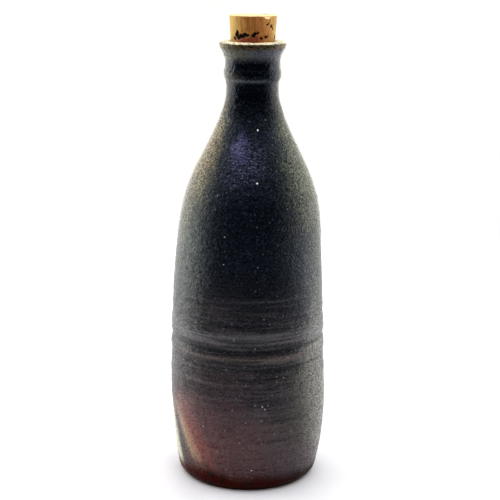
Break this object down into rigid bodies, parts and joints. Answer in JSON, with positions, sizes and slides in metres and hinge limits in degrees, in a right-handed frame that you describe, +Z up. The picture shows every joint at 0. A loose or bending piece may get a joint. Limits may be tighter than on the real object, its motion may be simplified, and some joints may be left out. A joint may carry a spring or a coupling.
{
  "type": "sake bottle",
  "caption": "Tall thrown stoneware bottle with a full belly, long shoulder, beaded narrow neck and flared lip, closed by a tapered natural cork that lifts out; it holds and pours sake.",
  "frame": {"origin": "centre of the foot, on the surface that the bottle stands on", "axes": "+Z up along the bottle's axis, from the foot to the cork; -Y is the front"},
  "size_m": [0.0841, 0.0841, 0.2534],
  "materials": {
    "stoneware": "satin",
    "cork": "matte"
  },
  "bodies": {
    "bottle": {"bottle_body": "stoneware"},
    "cork": {"cork_stopper": "cork"}
  },
  "joints": [
    {"name": "cork_lift", "type": "slide", "parent": "bottle", "child": "cork", "axis": [0, 0, 1], "range_m": [0, 0.06]}
  ]
}
